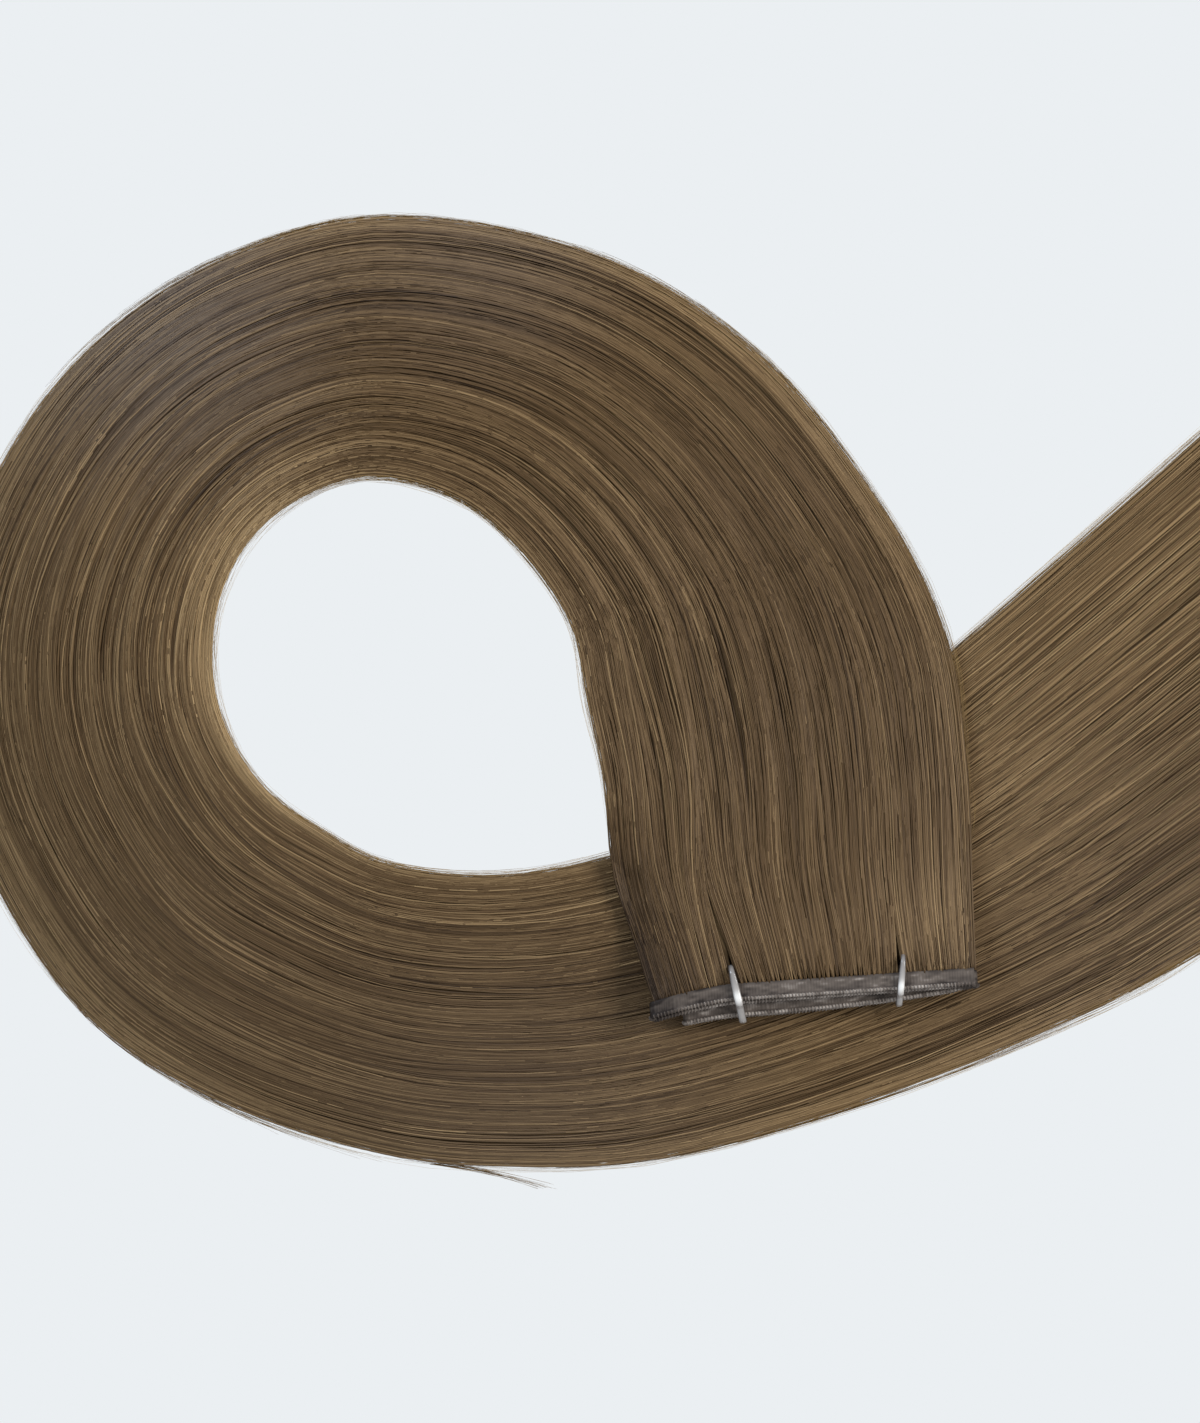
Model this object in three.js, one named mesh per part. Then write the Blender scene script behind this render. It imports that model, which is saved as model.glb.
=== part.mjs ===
// A weft of long straight hair, laid on a table in a coil. The sewn band that the hair hangs from is
// folded back and forth into a flat stack, and two ties go round the stack through partings in the hair.
// Millimetres, +Z up. The table is z = 0 and the origin is under the middle of the whole outline.
import * as THREE from "three";

// Band: one strip, folded into runs that lie on each other. The top run droops at its left end.
const BAND_LENGTH = 60;
const BAND_HEIGHT = 3.2;
const BAND_THICK = 1;
const BAND_DROOP = 2.3;
const DROOP_POWER = 1.5; // higher keeps the droop nearer the end
const BAND_GAP = 0.45; // clear of the ties
const ROOT_GAP = 0.6; // clear of the hair's root ends
const RUN_PITCH = 1.5;
const RUN_PARTS = 10;
const FOLD_PARTS = 6;
// From the top run down: how far its folds stop short of the stack's left and right ends, and how far
// it lies out from the top run at its left end, its middle and its right end.
const RUN_COLUMNS = ["left_short", "right_short", "left_out", "middle_out", "right_out"];
const RUNS = table(RUN_COLUMNS, [
  [0, 0, 0, 0, 0],
  [0, 0.5, 0.8, 0.6, 0.4],
  [6, 0.5, 2.6, 2.7, 0.6],
  [6, 3, 2.8, 3, 0.8],
]);

// Ties: across is where each one crosses the band, from its left end to its right, and lean how far it
// moves along the band for each millimetre towards the hair.
const TIE_WIDTH = 1.5;
const TIE_THICK = 1;
const TIE_REACH = 2.4; // how far up the parting the loop's back lies
const TIE_CORNER = 0.4; // how round the loop is at its front corners
const TIE_PARTS = 32;
const TIE_SIDES = 8;
const TIES = [
  { name: "tie_left", across: 0.255, lean: -0.16 },
  { name: "tie_right", across: 0.77, lean: 0.14 },
];

// Hair: cross-sections from the band to the tip. inner and outer are its edges on the inside and the
// outside of the coil, lift is how far its underside is off the table at each of them, thick is its
// height along the middle and edge its height at the edges.
const SECTION_COLUMNS = [
  "inner_x", "inner_y", "outer_x", "outer_y", "inner_lift", "outer_lift", "thick", "edge",
];
const SECTIONS = table(SECTION_COLUMNS, [
  [-32, -75.5, 28, -71.5, 6, 6, 5.5, 4],
  [-39, -56.5, 27.5, -54.5, 4.6, 4.9, 5.5, 2.2],
  [-41, -38, 26.5, -34.5, 3.1, 4.5, 5.5, 1.6],
  [-44, -23.5, 23, -11.5, 1.5, 2.2, 5.5, 1.3],
  [-47, -9.5, 11.5, 12, 0, 0, 5.5, 1.2],
  [-56, 4, -11.5, 40.5, 0, 0, 5.6, 1.2],
  [-67.5, 13.5, -41.5, 59, 0, 0, 5.8, 1.2],
  [-82.5, 17.5, -80, 66, 0, 0, 6, 1.2],
  [-95, 14, -111, 58.1, 0, 0, 6, 1.2],
  [-104.5, 6.6, -134.6, 42.4, 0, 0, 6, 1.2],
  [-110.1, -3.3, -151.4, 20.5, 0, 0, 6, 1.2],
  [-111.9, -13.9, -161.4, -6, 0, 0, 6, 1.2],
  [-110.9, -23.9, -161.4, -32.9, 0, 0, 6, 1.2],
  [-107.1, -32.9, -152.2, -58.3, 0, 0, 5.8, 1.2],
  [-101, -40.6, -135.7, -81.8, 0, 0, 5.6, 1.2],
  [-93, -46.4, -112, -97.2, 0, 0, 5.4, 1.2],
  [-80, -53, -84, -106.6, 0, 0, 5.1, 1.2],
  [-60, -55, -60.5, -109.5, 0, 0, 4.8, 1.2],
  [-39.5, -51.5, -29.5, -108, 0, 0, 4.2, 1.2],
  [-13.5, -42, 11.5, -96.5, 0, 0, 4, 1.2],
  [8.5, -26, 51.5, -80, 0, 0, 3.8, 1.2],
  [29.5, -9, 76.5, -66, 0, 0, 3.6, 1.2],
  [73.5, 29.5, 127, -31.5, 0, 0, 3.2, 1.2],
  [118, 69.5, 170, 7, 0, 0, 2.8, 1.2],
  [165, 113, 211, 48, 0, 0, 2.4, 1.2],
]);
const CROWN_POWER = 2.4; // higher is flatter on top
const ROOT_SLANT = 0.25; // how far the hair's root end runs under the stack for each millimetre down
const STEPS_PER_SECTION = 4;
const CROWN_PARTS = 6;

// Strands end along a slant: inside the coil they have a shorter way round, so they reach further.
const INNER_LAST = 24; // the section that the innermost strands reach
const OUTER_LAST = 21.4;
const TIP_SECTIONS = 1.5; // how many sections the hair thins out over
const TIP_THICK_LEFT = 0.4;
const TIP_SHARE = 0.03; // width left at the very end of a lock, as a share of the whole hair

// Locks: from and to are shares of the way from the inner edge to the outer one. Each lock is two solids,
// the root half that lies over the other one and the end half, which meet at the far left of the coil.
const LOCKS = [
  { name: "hair_inner_lock", from: 0, to: TIES[0].across },
  { name: "hair_middle_lock", from: TIES[0].across, to: TIES[1].across },
  { name: "hair_outer_lock", from: TIES[1].across, to: 1 },
];
const LOCK_GAP = 0.5;
const HALFWAY = 11.5; // the section where the halves meet
const HALF_GAP = 0.02; // between them, in sections
const PARTING_WIDTH = 2.8; // at the ties
const PARTING_SECTIONS = 1.4; // how many sections it takes to close

const MATERIALS = {
  hair: new THREE.MeshStandardMaterial({ color: 0x5f4d38, roughness: 0.45, metalness: 0 }),
  band: new THREE.MeshStandardMaterial({ color: 0x6a615c, roughness: 0.6, metalness: 0 }),
  tie: new THREE.MeshStandardMaterial({ color: 0xd6d4d1, roughness: 0.3, metalness: 0 }),
};

const { clamp, lerp, smoothstep } = THREE.MathUtils;

// Rows of numbers as objects with named columns.
function table(columns, rows) {
  return rows.map((row) => Object.fromEntries(columns.map((column, i) => [column, row[i]])));
}

// A closed solid through rings of points, each ring running the same way round. A loop joins its last
// ring to its first one, and anything else gets a fan of triangles over each end.
function skin(rings, isLoop) {
  const sides = rings[0].length;
  const spans = isLoop ? rings.length : rings.length - 1;
  const triangles = [];
  for (let span = 0; span < spans; span++) {
    const here = span * sides;
    const next = ((span + 1) % rings.length) * sides;
    for (let side = 0; side < sides; side++) {
      const beside = (side + 1) % sides;
      triangles.push(here + side, next + side, next + beside);
      triangles.push(here + side, next + beside, here + beside);
    }
  }
  if (!isLoop) {
    const tip = (rings.length - 1) * sides;
    for (let side = 1; side < sides - 1; side++) {
      triangles.push(0, side, side + 1);
      triangles.push(tip, tip + side + 1, tip + side);
    }
  }
  const geometry = new THREE.BufferGeometry().setFromPoints(rings.flat());
  geometry.setIndex(triangles);
  geometry.computeVertexNormals();
  return geometry;
}

function named(name, geometry, material) {
  const mesh = new THREE.Mesh(geometry, material);
  mesh.name = name;
  return mesh;
}

// A smooth curve through two or three columns of the section table, one point for each row.
function columnCurve(x, y, z) {
  const points = SECTIONS.map((row) => new THREE.Vector3(row[x], row[y], row[z]));
  return new THREE.CatmullRomCurve3(points, false, "catmullrom");
}

const innerCurve = columnCurve("inner_x", "inner_y", "inner_lift");
const outerCurve = columnCurve("outer_x", "outer_y", "outer_lift");
const heightCurve = columnCurve("thick", "edge");

// The hair's cross-section at a station, which is a section's row number or lies between two rows.
function sectionAt(station) {
  const share = station / (SECTIONS.length - 1);
  const inner = innerCurve.getPoint(share);
  const outer = outerCurve.getPoint(share);
  inner.z = Math.max(inner.z, 0);
  outer.z = Math.max(outer.z, 0);
  const heights = heightCurve.getPoint(share);
  return { inner, outer, thick: heights.x, edge: heights.y };
}

// The band's own frame: the middle of the hair's first section, along the band and towards the hair.
const root = sectionAt(0);
const alongBand = new THREE.Vector3().subVectors(root.outer, root.inner).normalize();
const towardsHair = new THREE.Vector3(-alongBand.y, alongBand.x, 0);
const bandMiddle = new THREE.Vector3().addVectors(root.inner, root.outer).multiplyScalar(0.5);
const bandTop = root.inner.z + root.thick;

function bandPoint(along, hairward, height) {
  return new THREE.Vector3(bandMiddle.x, bandMiddle.y, height)
    .addScaledVector(alongBand, along)
    .addScaledVector(towardsHair, hairward);
}

// How far the band droops at a share of its length, left of the left tie.
function droop(share) {
  const past = clamp(1 - share / TIES[0].across, 0, 1);
  return BAND_DROOP * past ** DROOP_POWER;
}

// How far a run of the folded band lies hairward of the straight root line at a place along it.
function runOffset(run, along) {
  const share = along / BAND_LENGTH + 0.5;
  const { left_out, middle_out, right_out } = RUNS[run];
  const outer = lerp(left_out, right_out, share);
  const bow = 4 * share * (1 - share);
  return -droop(share) - outer - bow * (middle_out - (left_out + right_out) / 2);
}

function runHeight(run) {
  return bandTop - BAND_THICK / 2 - run * RUN_PITCH;
}

// The strip's middle line, run by run from the top. Each point has the strip's upward side there.
function bandRoute() {
  const route = [];
  const halfLength = BAND_LENGTH / 2 - RUN_PITCH / 2;
  const ends = RUNS.map((run) => [run.left_short - halfLength, halfLength - run.right_short]);
  const evenStops = Array.from({ length: RUN_PARTS + 1 }, (_, i) => i / RUN_PARTS);
  // The top run's face is one flat piece between the ties, clear of both.
  const besideTie = (tie) => [-TIE_WIDTH, TIE_WIDTH].map((aside) => 1 - tie.across + aside / BAND_LENGTH);
  const drooping = evenStops.filter((stop) => stop > 1 - TIES[0].across);
  const topStops = [0, ...TIES.flatMap(besideTie), ...drooping].sort((a, b) => a - b);
  RUNS.forEach((_, run) => {
    const goesLeft = run % 2 === 0;
    const [start, end] = goesLeft ? [ends[run][1], ends[run][0]] : ends[run];
    const facing = goesLeft ? 1 : -1;
    const stops = run === 0 ? topStops : evenStops;
    for (const stop of stops) {
      const along = lerp(start, end, stop);
      const offset = runOffset(run, along);
      route.push({ along, offset, height: runHeight(run), normal: [0, facing] });
    }
    if (run === RUNS.length - 1) return;
    const endOffset = runOffset(run, end);
    const nextOffset = runOffset(run + 1, end);
    for (let part = 1; part < FOLD_PARTS; part++) {
      const turn = (Math.PI * part) / FOLD_PARTS;
      const outward = [(goesLeft ? -1 : 1) * Math.sin(turn), Math.cos(turn)];
      route.push({
        along: end + (outward[0] * RUN_PITCH) / 2,
        offset: lerp(endOffset, nextOffset, part / FOLD_PARTS),
        height: runHeight(run + 0.5) + (outward[1] * RUN_PITCH) / 2,
        normal: outward.map((share) => share * facing),
      });
    }
  });
  return route;
}

function weftBand() {
  const half = BAND_THICK / 2;
  const rings = bandRoute().map(({ along, offset, height, normal }) => {
    const corner = (side, hairward) =>
      bandPoint(along + side * normal[0] * half, offset + hairward, height + side * normal[1] * half);
    const near = -ROOT_GAP;
    const far = -ROOT_GAP - BAND_HEIGHT;
    return [corner(1, near), corner(1, far), corner(-1, far), corner(-1, near)];
  });
  return skin(rings, false);
}

// A tie is a closed loop round the stack: over the top run, down the front of the runs, back under the
// lowest one and up through the parting in the hair.
function tie({ across, lean }) {
  const along = (across - 0.5) * BAND_LENGTH;
  const clear = BAND_GAP + TIE_THICK / 2;
  const lowest = RUNS.length - 1;
  const top = bandTop + clear;
  const bottom = runHeight(lowest) - BAND_THICK / 2 - clear;
  const fronts = RUNS.map((_, run) => runOffset(run, along) - ROOT_GAP - BAND_HEIGHT - clear);
  const [topFront, bottomFront] = [fronts[0], fronts[lowest]];
  const corners = [
    [TIE_REACH, (top + bottom) / 2],
    [TIE_REACH - clear, top],
    [topFront / 2, top],
    [topFront + clear * TIE_CORNER, top],
    ...fronts.map((front, run) => [front, runHeight(run) + BAND_THICK / 2]),
    [bottomFront, bottom + clear],
    [bottomFront + clear * TIE_CORNER, bottom],
    [bottomFront / 2, bottom],
    [TIE_REACH - clear, bottom],
  ];
  const points = corners.map(([hairward, height]) => new THREE.Vector3(0, hairward, height));
  const loop = new THREE.CatmullRomCurve3(points, true);
  const rings = [];
  for (let part = 0; part < TIE_PARTS; part++) {
    const share = part / TIE_PARTS;
    const middle = loop.getPointAt(share);
    const heading = loop.getTangentAt(share);
    const ring = [];
    for (let side = 0; side < TIE_SIDES; side++) {
      const turn = (2 * Math.PI * side) / TIE_SIDES;
      const outward = (Math.cos(turn) * TIE_THICK) / 2;
      const hairward = middle.y + outward * heading.z;
      const height = middle.z - outward * heading.y;
      const sideways = (Math.sin(turn) * TIE_WIDTH) / 2;
      ring.push(bandPoint(along + lean * middle.y + sideways, hairward, height));
    }
    rings.push(ring);
  }
  return skin(rings, true);
}

// The section where the strands at a share of the way across the hair end.
function lastStation(share) {
  return lerp(INNER_LAST, OUTER_LAST, share);
}

// A slice of the hair between two shares of its width and two stations: flat below, with the crown of
// the whole hair on top, a parting beside each tie, and strands that end along the slant.
function slice({ from, to }, first, last) {
  const steps = Math.round((last - first) * STEPS_PER_SECTION);
  const rings = [];
  for (let step = 0; step <= steps; step++) {
    const station = lerp(first, last, step / steps);
    const section = sectionAt(station);
    const width = section.inner.distanceTo(section.outer);
    const parting = lerp(PARTING_WIDTH, LOCK_GAP, smoothstep(station, 0, PARTING_SECTIONS));
    const halfParting = parting / 2 / width;
    const slantShare = (station - INNER_LAST) / (OUTER_LAST - INNER_LAST);
    const start = from > 0 ? from + halfParting : from;
    const end = Math.min(to < 1 ? to - halfParting : to, Math.max(slantShare, start + TIP_SHARE / 2));
    const topAt = (share) => {
      const crown = 1 - Math.abs(2 * share - 1) ** CROWN_POWER;
      const strandLast = lastStation(share);
      const thinning = smoothstep(station, strandLast - TIP_SECTIONS, strandLast);
      return lerp(section.edge, section.thick, crown) * lerp(1, TIP_THICK_LEFT, thinning);
    };
    const pointAt = (share, up) => {
      const point = new THREE.Vector3().lerpVectors(section.inner, section.outer, share);
      point.z += up;
      if (station === 0) {
        const undercut = ROOT_SLANT * (bandTop - point.z);
        point.addScaledVector(towardsHair, -undercut - droop(share));
      }
      return point;
    };
    const ring = [pointAt(start, 0), pointAt(end, 0)];
    for (let part = 0; part <= CROWN_PARTS; part++) {
      const share = lerp(end, start, part / CROWN_PARTS);
      ring.push(pointAt(share, topAt(share)));
    }
    rings.push(ring);
  }
  return skin(rings, false);
}

const weft = new THREE.Group();
weft.add(named("weft_band", weftBand(), MATERIALS.band));
for (const tieRow of TIES) weft.add(named(tieRow.name, tie(tieRow), MATERIALS.tie));
for (const lock of LOCKS) {
  const last = lastStation(lock.from + TIP_SHARE);
  weft.add(named(`${lock.name}_root`, slice(lock, 0, HALFWAY - HALF_GAP), MATERIALS.hair));
  weft.add(named(`${lock.name}_end`, slice(lock, HALFWAY, last), MATERIALS.hair));
}

export default weft;
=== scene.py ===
import math

import bpy
import numpy as np
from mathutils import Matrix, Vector


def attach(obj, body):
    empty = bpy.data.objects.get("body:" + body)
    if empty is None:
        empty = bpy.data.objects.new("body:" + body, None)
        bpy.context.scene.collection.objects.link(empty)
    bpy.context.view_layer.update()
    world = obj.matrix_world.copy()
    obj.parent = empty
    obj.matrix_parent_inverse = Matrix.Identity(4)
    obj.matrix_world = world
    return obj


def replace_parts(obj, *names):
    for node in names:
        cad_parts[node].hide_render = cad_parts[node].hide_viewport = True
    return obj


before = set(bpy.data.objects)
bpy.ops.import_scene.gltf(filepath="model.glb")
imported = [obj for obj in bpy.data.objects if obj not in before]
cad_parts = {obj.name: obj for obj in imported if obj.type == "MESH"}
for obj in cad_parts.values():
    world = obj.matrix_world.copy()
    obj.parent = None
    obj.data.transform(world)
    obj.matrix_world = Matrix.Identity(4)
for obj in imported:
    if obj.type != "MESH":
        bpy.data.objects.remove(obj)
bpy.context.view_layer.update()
scene = bpy.context.scene

MM = 0.001

# Hair: cross-sections from the band to the tip. Inner and outer are its edges in the coil, lift is how
# far its underside is off the table, thick and edge are its heights in the middle and at the edges.
# Columns: inner x, inner y, outer x, outer y, inner lift, outer lift, thick, edge
SECTIONS = MM * np.array([
    [-32, -75.5, 28, -71.5, 6, 6, 5.5, 4],
    [-39, -56.5, 27.5, -54.5, 4.6, 4.9, 5.5, 2.2],
    [-41, -38, 26.5, -34.5, 3.1, 4.5, 5.5, 1.6],
    [-44, -23.5, 23, -11.5, 1.5, 2.2, 5.5, 1.3],
    [-47, -9.5, 11.5, 12, 0, 0, 5.5, 1.2],
    [-56, 4, -11.5, 40.5, 0, 0, 5.6, 1.2],
    [-67.5, 13.5, -41.5, 59, 0, 0, 5.8, 1.2],
    [-82.5, 17.5, -80, 66, 0, 0, 6, 1.2],
    [-95, 14, -111, 58.1, 0, 0, 6, 1.2],
    [-104.5, 6.6, -134.6, 42.4, 0, 0, 6, 1.2],
    [-110.1, -3.3, -151.4, 20.5, 0, 0, 6, 1.2],
    [-111.9, -13.9, -161.4, -6, 0, 0, 6, 1.2],
    [-110.9, -23.9, -161.4, -32.9, 0, 0, 6, 1.2],
    [-107.1, -32.9, -152.2, -58.3, 0, 0, 5.8, 1.2],
    [-101, -40.6, -135.7, -81.8, 0, 0, 5.6, 1.2],
    [-93, -46.4, -112, -97.2, 0, 0, 5.4, 1.2],
    [-80, -53, -84, -106.6, 0, 0, 5.1, 1.2],
    [-60, -55, -60.5, -109.5, 0, 0, 4.8, 1.2],
    [-39.5, -51.5, -29.5, -108, 0, 0, 4.2, 1.2],
    [-13.5, -42, 11.5, -96.5, 0, 0, 4, 1.2],
    [8.5, -26, 51.5, -80, 0, 0, 3.8, 1.2],
    [29.5, -9, 76.5, -66, 0, 0, 3.6, 1.2],
    [73.5, 29.5, 127, -31.5, 0, 0, 3.2, 1.2],
    [118, 69.5, 170, 7, 0, 0, 2.8, 1.2],
    [165, 113, 211, 48, 0, 0, 2.4, 1.2],
])
CROWN_POWER = 2.4
# The edges as shares across the hair, the last station of each one, the sections over which the hair
# thins out at its end and the share of its height that is left there
INNER_EDGE = 0.0
OUTER_EDGE = 1.0
INNER_LAST = 24.0
OUTER_LAST = 21.4
TIP_SECTIONS = 1.5
TIP_THICK_LEFT = 0.4

# Partings: where across the hair each tie goes through it, how wide the gap is and how long in sections
LEFT_PARTING = 0.255
RIGHT_PARTING = 0.77
PARTINGS = {
    LEFT_PARTING: (1.6 * MM, 1.3),
    RIGHT_PARTING: (1.6 * MM, 0.7),
}
PARTING_POWER = 1.4

# Locks: shares across the hair between which each one lies and rings along each of its strands
LOCKS = {
    "inner": (INNER_EDGE, LEFT_PARTING, 78),
    "middle": (LEFT_PARTING, RIGHT_PARTING, 86),
    "outer": (RIGHT_PARTING, OUTER_EDGE, 97),
}
# Strands: name, lock, shares across the hair between which they grow, how many, seed
STRANDS = [
    ("inner_lock_strands", "inner", INNER_EDGE, LEFT_PARTING, 340, 11),
    ("middle_lock_strands_left", "middle", LEFT_PARTING, 0.43, 230, 12),
    ("middle_lock_strands_centre", "middle", 0.43, 0.6, 230, 13),
    ("middle_lock_strands_right", "middle", 0.6, RIGHT_PARTING, 230, 14),
    ("outer_lock_strands", "outer", RIGHT_PARTING, OUTER_EDGE, 320, 15),
]
STRAND_RADIUS = 0.13 * MM
STRAND_RADIUS_SPREAD = 0.18
STRAND_SIDES = 3
# How near to the hair's underside strands may come
LEAST_RISE = 0.22 * MM
# Rings per section from station to station, how far each strand's are moved and how finely they are found
RING_STATIONS = [0, 0.25, 0.5, 3.5, 5, 7, 15, 17, 19, 24]
RING_DENSITY = [14, 14, 2.4, 2.4, 4.3, 3.4, 3.4, 2.4, 1.2, 0.9]
RING_SHIFT = 0.45
RING_SEARCH_STEPS = 2000
# Strands along the underside: how many of all, the shares between which they lie and how high
UNDER_STRANDS = 0.1
UNDER_SHARES = (0.12, 0.93)
UNDER_HEIGHT = 0.2 * MM
# Sway in shares across the hair, of stray strands, of the others and of neighbours together: the sections
# that a wave takes, the station by which it has set in, how near the edges it calms down and how far
# inside them strands stay
STRAY_STRANDS = 0.04
STRAY_SWAY = 0.02
OWN_SWAY = 0.004
OWN_SWAY_SPREAD = 0.3
SWAY_SECTIONS = (3, 9)
BROAD_SWAY = 0.010
CLUMP_SWAY = 0.0012
SWAY_SET_IN = 2.5
EDGE_CALM = 3 * MM
EDGE_INSETS = (0.25 * MM, 1.1 * MM)
# Depth: how far strands sink in, how much of that comes and goes over how many sections, and how deep the
# dark lines are
SINK = 0.14 * MM
MOST_SINK = 3 * SINK
DIP = 0.7
DIP_SECTIONS = (2, 6)
GROOVE_DEPTH = 0.22 * MM
# Teeth: the small bundles in which strands leave the band
TOOTH_PITCH = 0.9 * MM
TOOTH_PULL = 0.6
TOOTH_SECTIONS = (0.08, 0.2)
TOOTH_SEED = 16
# Sewing: the sections over which strands come to the band, how far they go in and how heights differ there
SEWN_SECTIONS = 0.6
SEWN_DEPTH = 0.4 * MM
SEWN_SPREAD = 0.12 * MM
# Tips: how much sooner than the longest strands others end, over how many sections a strand gets finer and
# sinks, and the shares of its radius and its height that are left at its tip
SHORT_TUFT_SECTIONS = 0.1
SHORT_SECTIONS = 0.35
TUFT_RISE = 0.4
TAPER_SECTIONS = 0.15
SINK_SECTIONS = 0.8
TIP_RADIUS_LEFT = 0.25
TIP_HEIGHTS_LEFT = (0.2, 1)

# Tone of the hair and contrast of its lighter and darker streaks, from station to station
TONE_STATIONS = [0, 3, 6, 8, 10, 12, 16, 21]
HAIR_TONE = [0.485, 0.45, 0.455, 0.475, 0.49, 0.505, 0.5, 0.59]
STREAK_CONTRAST = [0.055, 0.035, 0.035, 0.13, 0.15, 0.09, 0.07, 0.08]
STRAND_TONE_SPREAD = 0.1
BROAD_TONE = 0.025
# Painted light on the rims, which stands in for light through the thin hair at its edges: how much at the
# inner and the outer edge and, where light falls on it, on the lit side of the coil's inside, how far in,
# and the station where they have set in
PAINTED_RIM_LIGHT = (0.25, 0.18)
PAINTED_RIM_REACH = 1.6 * MM
PAINTED_LIT_SIDE_LIGHT = 0.4
PAINTED_LIT_SIDE_REACH = 5 * MM
RIM_SET_IN = 1.2
# Lighter and darker stretches: middle as station and share, reach in sections and shares, how much lighter.
# The pale ones at shares below 0.1 and above 0.9 are painted rim light, and the one at station 8.8 is a
# painted sheen as well
STRETCHES = [
    (0.5, 0.9, 0.6, 0.2, 0.11),
    (3.3, 0.7, 1.6, 0.2, -0.06),
    (4.5, 0.22, 2.2, 0.1, 0.04),
    (5.0, 0.97, 1.6, 0.06, 0.1),
    (7.2, 0.5, 1.0, 0.35, -0.08),
    (8.8, 0.93, 1.6, 0.1, 0.05),
    (9.2, 0.08, 1.2, 0.1, 0.08),
    (13.5, 0.18, 2.2, 0.15, -0.09),
    (13.6, 0.95, 1.4, 0.07, 0.05),
    (16.5, 0.92, 3.0, 0.1, 0.09),
    (17.5, 0.25, 0.7, 0.3, -0.04),
    (19.6, 0.78, 0.6, 0.08, -0.06),
    (20.3, 0.4, 1.5, 0.3, 0.05),
    (21.8, 0.22, 0.7, 0.12, 0.08),
]
# Cooler and greyer patches: the first, at the coil's upper left, is a painted sheen of cool light on the
# hair, the others make the hair greyer where they lie. The middle of each patch, how far it reaches and how
# much is mixed in at its middle
SHEEN_AND_GREY_COLOUR = (108, 105, 108)
SHEEN_AND_GREY_PATCHES = [
    # Painted sheen of cool light at the coil's upper left
    ((-123 * MM, 52 * MM, 3 * MM), 46 * MM, 0.3),
    ((-62 * MM, 64 * MM, 3 * MM), 40 * MM, 0.17),
    ((-115 * MM, -85 * MM, 3 * MM), 80 * MM, 0.05),
    ((-48 * MM, -108 * MM, 3 * MM), 62 * MM, 0.14),
    ((70 * MM, -75 * MM, 3 * MM), 80 * MM, 0.12),
]

# Dark lines: values of the groove pattern between which they set in, how much painted shade darkens the
# strands in them, and the share of a line that fades at each end. Single lines: first and last share, first
# and last station, half width
GROOVE_LEVELS = (1.35, 2.2)
PAINTED_GROOVE_SHADE = 0.25
LINE_FADE = 0.3
DARK_LINES = [
    (0.15, 0.14, 9.8, 11.7, 0.75 * MM),
    (0.47, 0.465, 9.9, 12.0, 0.55 * MM),
    (0.79, 0.73, 19.2, 21.0, 0.7 * MM),
]

# Rounding of the root's left side: how far it reaches in from the edge, how deep it is there, the sections
# over which it sets in and fades away, and how much painted shade darkens it, as the side turned away from
# the key lamp
ROUND_REACH = 15 * MM
ROUND_DEPTH = 3.8 * MM
ROUND_SET_IN = (0.02, 0.5)
ROUND_SECTIONS = (0.9, 2.2)
PAINTED_ROUND_SHADE = 0.42
ROUND_SHADE_POWER = 1.5

# Flanks: strands down the sides of the hair: how many, how far inside the edge, the middle and the spread
# of their tone, and how much paler they get over which stations, a painted rim light that lifts them out of
# the hair's shade
FLANK_COUNT = 24
FLANK_INSET = 1.1 * MM
FLANK_TONE = (0.35, 0.06)
FLANK_PAINTED_RIM_LIGHT = 0.45
FLANK_PALER_STATIONS = (0.8, 2)

# Fringe: fine hairs that leave each edge and come back: how many, their rings, the first station, how long
# before it and before the hair's end they may start, and over how many sections they run
FRINGE_COUNT = 420
FRINGE_RINGS = 12
FRINGE_FIRST = 1.2
FRINGE_BEFORE_FIRST = 2
FRINGE_BEFORE_END = 1.5
FRINGE_SECTIONS = (2, 5)
# How far inside the edge they start, the least and the further way out, how round their bow is, and at
# which shares of the edge's height they lie
FRINGE_INSIDE = 1.7 * MM
FRINGE_LEAST = 0.35 * MM
FRINGE_REACH = 2.35 * MM
FRINGE_BOW = 0.8
FRINGE_HEIGHTS = (0.7, 1)
FRINGE_RADIUS = 0.019 * MM
FRINGE_END_LEFT = 0.6
# Their tone as a middle and a spread, and how much paler they get on their way out, painted light that
# stands in for light through the fine hairs
FRINGE_TONE = (0.4, 0.12)
FRINGE_PAINTED_LIGHT = 0.3
FRINGE_PALER_OUT = (-0.6 * MM, 0.8 * MM)

# Cores: how far inside the edges and under the strands they lie, where they start, how much sooner than
# strands they end and how ragged, over how many sections they thin out and to what share, how high they
# lie, how thick they are at least, and their rings and columns
CORE_INSET = 1.3 * MM
CORE_DEPTH = 0.55 * MM
CORE_FIRST = 0.04
CORE_EARLY = 0.6
CORE_RAGGED = 0.15
CORE_THINNING = 1.2
CORE_END_LEFT = 0.2
CORE_BOTTOM = 0.2 * MM
CORE_LEAST = 0.05 * MM
CORE_RINGS = 170
CORE_COLUMNS = 24
# How much sooner their partings close, how wide the lines on them are, their tone and where it sets in:
# before that the core is dark near the band, a painted shade in the gaps between the teeth
CORE_PARTING_RATE = 3
CORE_LINE = 0.45 * MM
CORE_TONE = 0.5
CORE_ROOT_SHADE_STATIONS = (0.05, 0.3)

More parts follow.
